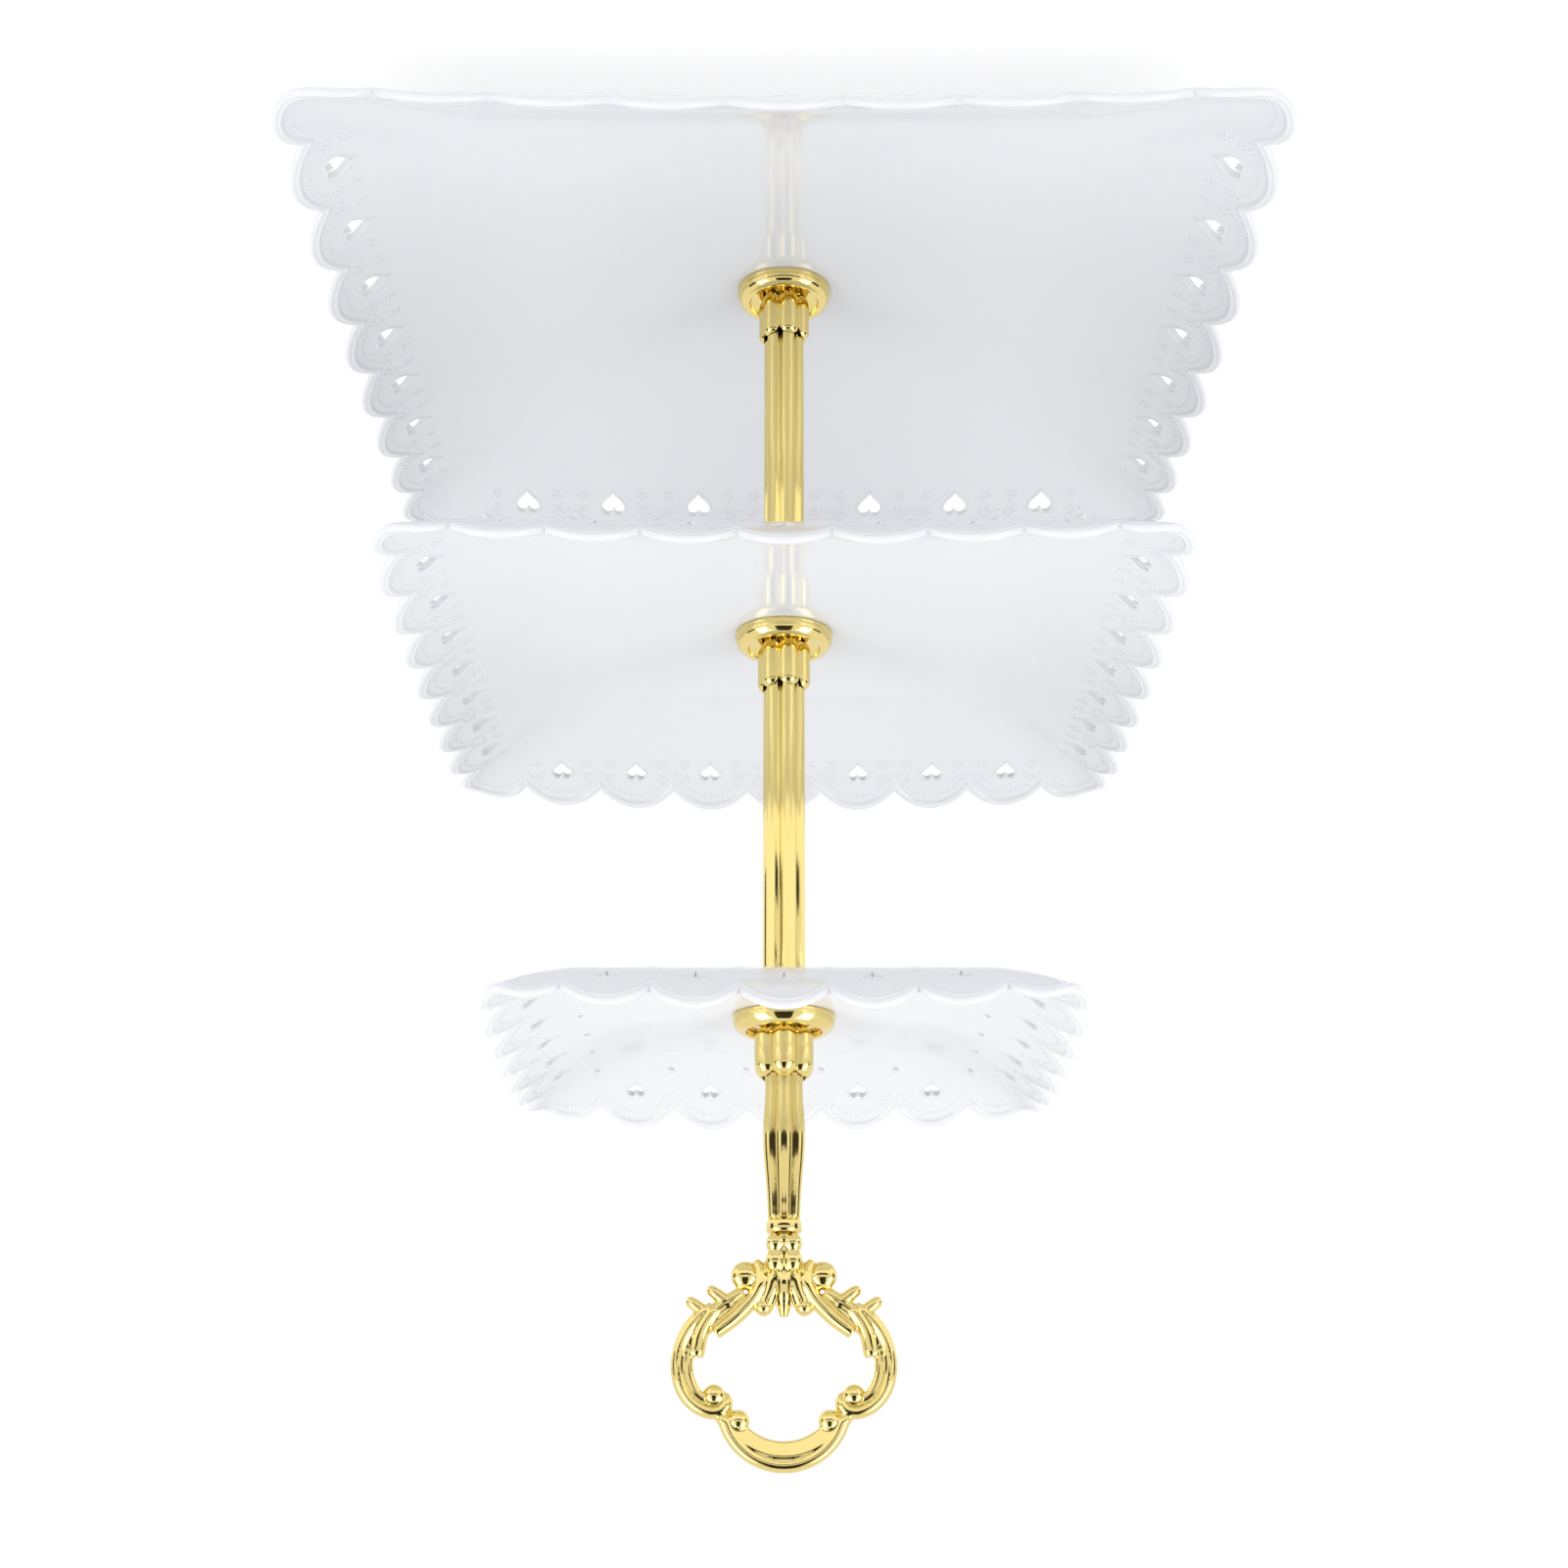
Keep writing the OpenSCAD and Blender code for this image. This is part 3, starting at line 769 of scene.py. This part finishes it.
def make_stud(node, body):
    low, high = node_mm(node)
    rows = [(2.0, low[2])] + threaded_rows(low[2], high[2], 32)[1:-1] + [(2.0, high[2])]
    hardware(node + "_thread", lathe(rows, 32, loop=False), STEEL, body, "zinc_steel", node, 60)


def make_base_screw(node, body):
    """Pan-head screw seen from below, with a cross recess in its head."""
    low, high = node_mm(node)
    z0, z1 = low[2], high[2]
    head_r, head_h = 5.6, 2.8
    cols = 96
    rows = threaded_rows(z0 + head_h, z1, cols)[1:-1]
    rows = [(STUD_R, z0 + head_h)] + rows + [(2.0, z1)]
    under = [(head_r - 0.5 + 0.5 * math.sin(a), z0 + head_h - 0.5 + 0.5 * math.cos(a))
             for a in np.linspace(math.pi / 2, 0, 4)]
    edge = [(head_r - 1.6 + 1.6 * math.sin(a), z0 + 1.6 - 1.6 * math.cos(a)) for a in np.linspace(0, math.pi / 2, 8)]
    verts, faces = lathe([(0.25, z0)] + [(r, z0) for r in np.linspace(0.5, head_r - 1.7, 24)] + edge + under + rows,
                         cols, loop=False)
    x, y, z = verts.T
    flat = np.hypot(x, y) < head_r - 1.5
    arm = np.minimum(abs(x), abs(y))
    along = np.maximum(abs(x), abs(y))
    wide = 0.75 * np.clip(1.25 - along / 5, 0.4, 1)
    recess = 1.5 * np.clip((wide - arm) / 0.2, 0, 1) * np.clip((3.2 - along) / 0.9, 0, 1)
    verts[:, 2] = np.where(flat & (z < z0 + head_h / 2), z + recess, z)
    hardware(node + "_panhead", (verts, faces), STEEL, body, "zinc_steel", node, 40)


REACH = {"lower_collar": 8.7, "middle_collar": 8.7, "handle_collar": 10.0,
         "lower_rod": 6.85, "upper_rod": 6.85}
BORES = {"base_washer": 3.3, "base_seal": 3.5, "middle_seal": 3.5, "top_seal": 3.5}


def make_column():
    make_rod("lower_rod", "lower_column")
    make_rod("upper_rod", "upper_column")
    make_collar("lower_collar", "lower_column", COLUMN_YAW, 0.0)
    make_collar("middle_collar", "upper_collar", COLUMN_YAW, 0.0)
    make_collar("handle_collar", "handle_ferrule", math.pi / LOBES, 0.05)
    make_flange("lower_flange", "lower_column", 9.7)
    make_flange("middle_flange", "lower_column", 9.7)
    make_flange("top_flange", "upper_column", 10.8)
    make_support("middle_support_disc", "lower_column")
    make_support("top_support_disc", "upper_column")
    for node, body in (("base_seal", "base"), ("middle_seal", "middle_tier"), ("top_seal", "top_tier")):
        make_washer(node, body, SEAL, "clear_seal", 0.3, 3)
    make_washer("base_washer", "lower_column", STEEL, "zinc_steel", 0.25)
    for column in ("lower", "upper"):
        for end in ("base", "top"):
            make_insert(f"{column}_rod_{end}_insert", column + "_column")
    make_stud("middle_stud", "lower_column")
    make_stud("handle_stud", "handle")
    make_base_screw("base_screw", "lower_column")


def make_stem():
    """Vase-shaped fluted stem with a plain band at its top, one lobe to the front."""
    z = node_mm("handle_stem")[0][2]
    outline = ((0.4, 6.45), (0.8, 6.8), (14.9, 6.8), (15.8, 6.5), (17.2, 6.2), (21, 6.25), (25, 6.5), (29.8, 6.9),
               (35.8, 7.1), (40.8, 6.8), (47, 6.15), (53, 5.65), (58, 5.45), (59.4, 5.3))
    h, r = zip(*outline)
    heights = np.concatenate([np.array([0.4, 0.8, 14.9]), np.linspace(15.4, 59.4, 60)])
    radii = np.interp(heights, h, r)
    radii[3:] = np.convolve(np.pad(radii[3:], 3, mode="edge"), np.ones(7) / 7, mode="valid")
    turn = math.pi / LOBES
    rows = [(3.0, z + 13), (3.0, z + 0.4), (3.4, z), (fluted(6.4, turn), z)]
    rows += [(fluted(reach, turn), z + height) for height, reach in zip(heights, radii)]
    rows += [(4.55, z + 59.9), (4.9, z + 60.3), (5.3, z + 60.6), (5.45, z + 61.4), (5.45, z + 63.0), (5.25, z + 63.8),
             (4.9, z + 64.1), (3.0, z + 64.1), (3.0, z + 57.1)]
    hardware("handle_stem_bar", lathe(rows, COLS, loop=False), GOLD_CAST, "handle", "gold", "handle_stem", 42)


# ------------------------------------------------------------------ scroll ring

RING_VOXEL = 0.33
RING_FOOT = node_mm("handle_ring")[0][2] + 7        # the ring stands on the stem here, above its tenon


def curve_through(points, steps):
    """Smooth curve through given points, each a tuple of any length."""
    p = np.array([points[0]] + list(points) + [points[-1]], float)
    out = []
    for i in range(len(p) - 3):
        a, b, c, d = p[i:i + 4]
        for t in np.arange(steps) / steps:
            out.append(0.5 * (2 * b + (c - a) * t + (2 * a - 5 * b + 4 * c - d) * t ** 2 +
                              (3 * b - a - 3 * c + d) * t ** 3))
    return np.array(out + [p[-2]])


def sweep(path, wide, deep, square=2.0, sides=20, wedge=0.0):
    """Closed bar along a path of (x, z) points. wide and deep are its half sizes in the ring's plane and across it,
    square bends its section from an ellipse (2) towards a box, and wedge makes its right-hand side thicker."""
    path = np.asarray(path, float)
    wide, deep = np.broadcast_to(wide, len(path)), np.broadcast_to(deep, len(path))
    ahead = unit(np.gradient(path, axis=0))
    across = np.stack([ahead[:, 1], -ahead[:, 0]], 1)
    angles = np.arange(sides) * TAU / sides
    c, s = np.cos(angles), np.sin(angles)
    c, s = np.sign(c) * abs(c) ** (2 / square), np.sign(s) * abs(s) ** (2 / square)
    verts = []
    for p, side, w, d in zip(path, across, wide, deep):
        verts.append(np.stack([p[0] + side[0] * w * c, d * s * (1 + wedge * c), p[1] + side[1] * w * c], 1))
    faces = tube_faces(len(path), sides)
    end = (len(path) - 1) * sides
    faces += [list(range(sides))[::-1], list(range(end, end + sides))]
    return np.concatenate(verts), faces


def taper(count, start, full, end, share=0.3):
    """Half sizes along a bar that grow from start to full and shrink to end over this share at either side."""
    t = np.linspace(0, 1, count)
    up = np.sin(np.clip(t / share, 0, 1) * math.pi / 2)
    down = np.sin(np.clip((1 - t) / share, 0, 1) * math.pi / 2)
    return np.minimum(start + (full - start) * up, end + (full - end) * down)


def scroll_bar(points, full, deep, start=0.5, end=0.5, share=0.25, square=2.0, steps=8):
    path = curve_through(points, steps)
    wide = taper(len(path), start * full, full, end * full, share)
    return sweep(path, wide, wide * deep / full, square)


def ball(x, z, r, y=0.0, stretch=(1, 1, 1)):
    rows, cols = 16, 24
    verts = [(x, y, z - r * stretch[2])]
    for i in range(1, rows):
        a = math.pi * i / rows
        verts += [(x + r * stretch[0] * math.sin(a) * math.cos(b), y + r * stretch[1] * math.sin(a) * math.sin(b),
                   z - r * stretch[2] * math.cos(a)) for b in np.arange(cols) * TAU / cols]
    verts.append((x, y, z + r * stretch[2]))
    faces = tube_faces(rows - 1, cols, first=1)
    last = 1 + (rows - 2) * cols
    faces += [(0, 1 + (c + 1) % cols, 1 + c) for c in range(cols)]
    faces += [(last + c, last + (c + 1) % cols, last + cols) for c in range(cols)]
    return np.array(verts), faces


def arc_path(cx, cz, r, a0, a1, n=40):
    return [(x, z) for x, z in arc_points(cx, cz, r, a0, a1, n)]


def half_ring():
    """Parts of the ring's right half. x is from the axis and z above the ring's foot, in millimetres."""
    parts = []
    # side scroll: outer ridge curling in at the top round a ball, with a lower ridge inside it
    parts.append(scroll_bar([(17.6, 46.6), (17.0, 49.2), (18.6, 51.6), (22.4, 52.0), (26.8, 49.8), (30.2, 45.6),
                             (31.7, 39.4), (30.9, 33.2), (28.6, 28.0), (25.4, 24.2), (21.4, 21.2)],
                            2.15, 3.0, 0.4, 0.75, 0.16))
    parts.append(scroll_bar([(22.6, 49.4), (26.2, 46.4), (28.2, 42.0), (28.7, 37.0), (27.8, 31.4), (25.2, 26.4)],
                            1.75, 2.2, 0.6, 0.6))
    parts.append(ball(20.8, 47.3, 3.35))
    parts.append(ball(13.5, 54.7, 3.4))
    # leaf on the inside of the side scroll
    parts.append(scroll_bar([(20.6, 22.0), (23.2, 25.6), (25.2, 30.2), (26.2, 36.2)], 2.5, 3.0, 0.8, 0.8, 0.12))
    # lower scroll: S-shaped leaf that starts round the big ball
    parts.append(ball(11.7, 12.2, 4.35, stretch=(1, 0.8, 1)))
    parts.append(scroll_bar([(8.6, 7.6), (6.9, 10.6), (7.0, 14.6), (8.8, 18.4), (12.4, 22.4), (16.2, 25.8),
                             (20.6, 29.0)], 2.5, 3.4, 0.4, 0.85, 0.4))
    # stalk that joins the lower and side scrolls, with two small leaves pointing out
    parts.append(scroll_bar([(12.4, 16.8), (15.8, 19.2), (19.8, 21.9), (24.0, 25.0), (28.0, 28.8)],
                            2.2, 2.5, 0.7, 0.8))
    parts.append(scroll_bar([(12.0, 18.0), (16.2, 22.0), (20.6, 25.2), (24.4, 28.6)], 2.4, 1.9, 0.8, 0.8))
    for tip in ((21.6, 16.7), (27.9, 20.0)):
        parts.append(scroll_bar([(tip[0] - 5.6, tip[1] + 4.4), (tip[0] - 2.8, tip[1] + 2.0), tip],
                                1.9, 2.5, 0.9, 0.9))
        parts.append(ball(tip[0], tip[1], 1.75, stretch=(1, 1.2, 1)))
    # petal of the fleur, leaning out, with the rib beside it
    parts.append(scroll_bar([(2.4, 8.5), (3.0, 13.0), (4.2, 17.4), (5.9, 21.6)], 2.7, 3.1, 0.6, 0.9, 0.4))
    parts.append(ball(6.1, 21.6, 2.8, stretch=(1, 1.15, 0.95)))
    parts.append(scroll_bar([(4.6, 7.0), (5.0, 11.4), (5.9, 15.4), (8.2, 20.6)], 1.2, 2.0, 0.7, 0.8))
    return parts


def ring_parts():
    """Closed overlapping shells that make up the ring."""
    parts = []
    for verts, faces in half_ring():
        parts.append((verts, faces))
        parts.append((verts * (-1, 1, 1), [face[::-1] for face in faces]))
    # top arch: round outer ridge whose ends curl in round the balls, and a broad flat ledge inside it
    arch = curve_through([(17.2, 51.3), (18.4, 53.6)] + arc_path(0, 49.05, 18.5, 19, 161, 14) +
                         [(-18.4, 53.6), (-17.2, 51.3)], 6)
    wide = taper(len(arch), 1.2, 2.1, 1.2, 0.12)
    parts.append(sweep(arch, wide, wide * 1.45, 2.2))
    ledge = curve_through(arc_path(0, 44.6, 18.6, 38, 142, 10), 6)
    parts.append(sweep(ledge, taper(len(ledge), 2.0, 2.75, 2.0, 0.15), 2.15, 6, 28, wedge=0.33))
    # fleur: middle petal and the web behind the petals
    parts.append(scroll_bar([(0, 8), (0, 12), (0, 18), (0, 24.4)], 2.7, 4.2, 0.4, 0.5, 0.5))
    parts.append(scroll_bar([(0, 5), (0, 10), (0, 16), (0, 21)], 4.6, 2.0, 0.9, 1.4, 0.6))
    # neck of two rows of beads
    for z, reach, half in ((2.6, 5.5, 3.0), (8.0, 5.6, 3.8)):
        for i in range(4):
            a = TAU * (i + 0.5) / 4
            parts.append(ball((reach - 2.9) * math.cos(a) * 1.41, z, 2.9, (reach - 2.9) * math.sin(a) * 1.41,
                              (1, 1, half / 2.9)))
    rows = [(2.6, -7), (2.95, -6.6), (2.95, -0.2), (4.4, 0), (4.6, 0.5), (4.4, 2), (4.2, 8), (3.4, 12)]
    parts.append(lathe(rows, 48, loop=False))
    return parts


def make_ring():
    verts, faces = [], []
    count = 0
    for part_verts, part_faces in ring_parts():
        verts.append(part_verts + (0, 0, RING_FOOT))
        faces += [[i + count for i in face] for face in part_faces]
        count += len(part_verts)
    ring = make_object("handle_ring_casting", np.concatenate(verts), faces, GOLD_CAST, "handle", "gold",
                       ["handle_ring"])
    apply_modifiers(ring, ("REMESH", {"mode": "VOXEL", "voxel_size": RING_VOXEL * MM, "adaptivity": 0.0}),
                    ("SMOOTH", {"factor": 0.5, "iterations": 4}))
    ring.data.shade_smooth()


def apply_modifiers(piece, *recipes):
    """Applies modifiers, each a type and its settings, to a piece's mesh."""
    for kind, settings in recipes:
        modifier = piece.modifiers.new(kind.lower(), kind)
        for key, value in settings.items():
            setattr(modifier, key, value)
    graph = bpy.context.evaluated_depsgraph_get()
    mesh = bpy.data.meshes.new_from_object(piece.evaluated_get(graph))
    old = piece.data
    piece.modifiers.clear()
    piece.data = mesh
    mesh.materials.clear()
    mesh.materials.append(old.materials[0])
    bpy.data.meshes.remove(old)


# ------------------------------------------------------------------ studio

def aim(thing, place, target):
    thing.location = place
    thing.rotation_euler = (Vector(target) - Vector(place)).to_track_quat("-Z", "Y").to_euler()


def softbox(name, place, target, width, height, strength):
    """Rectangular lamp. strength is the brightness of its face, in watts per steradian per square metre."""
    data = bpy.data.lights.new(name, "AREA")
    data.shape = "RECTANGLE"
    data.size, data.size_y = width, height
    data.energy = strength * width * height * math.pi
    lamp = bpy.data.objects.new(name, data)
    bpy.context.scene.collection.objects.link(lamp)
    lamp.visible_camera = False
    aim(lamp, place, target)
    return lamp


def card(name, place, target, width, height):
    """Black card that only reflections see."""
    mesh = bpy.data.meshes.new(name)
    w, h = width / 2, height / 2
    mesh.from_pydata([(-w, -h, 0), (w, -h, 0), (w, h, 0), (-w, h, 0)], [], [(0, 1, 2, 3)])
    piece = bpy.data.objects.new(name, mesh)
    bpy.context.scene.collection.objects.link(piece)
    material, _, shader = node_material(name)
    shader.inputs["Base Color"].default_value = (0.012, 0.011, 0.010, 1)
    shader.inputs["Roughness"].default_value = 0.9
    mesh.materials.append(material)
    for ray in ("camera", "diffuse", "transmission", "volume_scatter", "shadow"):
        setattr(piece, "visible_" + ray, False)
    aim(piece, place, target)
    return piece


def make_floor():
    mesh = bpy.data.meshes.new("floor")
    mesh.from_pydata([(-4, -4, 0), (4, -4, 0), (4, 4, 0), (-4, 4, 0)], [], [(0, 1, 2, 3)])
    mesh.materials.append(floor_material())
    piece = bpy.data.objects.new("floor", mesh)
    bpy.context.scene.collection.objects.link(piece)


def make_studio():
    scene = bpy.context.scene
    world = bpy.data.worlds.new("studio")
    world.use_nodes = True
    world.node_tree.nodes["Background"].inputs["Color"].default_value = (1, 1, 1, 1)
    world.node_tree.nodes["Background"].inputs["Strength"].default_value = 1.0
    scene.world = world
    scene.view_settings.view_transform = "Standard"
    make_floor()
    card("dark_low", (0, -0.82, 0.18), (0, 0, 0.18), 1.3, 0.17)
    card("dark_front", (0, -0.82, 1.15), (0, 0, 1.15), 0.66, 1.4)
    for name, side in (("left", -1), ("right", 1)):
        softbox("softbox_" + name, (side * 0.93, -0.58, 1.0), (0, 0, 0.2), 0.62, 1.1, 2.6)
        card("dark_" + name, (side * 1.1, -0.1, 0.25), (0, 0, 0.25), 0.45, 0.4)


def make_camera():
    """Camera at the viewing angle of a product shot, turned over so that the stand hangs in the frame."""
    data = bpy.data.cameras.new("camera")
    data.lens, data.sensor_width = 56.6, 36
    camera = bpy.data.objects.new("camera", data)
    bpy.context.scene.collection.objects.link(camera)
    pitch = math.radians(18.98)
    upright = Matrix.Rotation(math.pi / 2 - pitch, 4, "X")
    camera.matrix_world = (Matrix.Translation((0, -0.7505, 0.4465)) @ upright @ Matrix.Rotation(math.pi, 4, "Z"))
    bpy.context.scene.camera = camera


make_camera()
make_trays()
make_column()
make_stem()
make_ring()
make_studio()
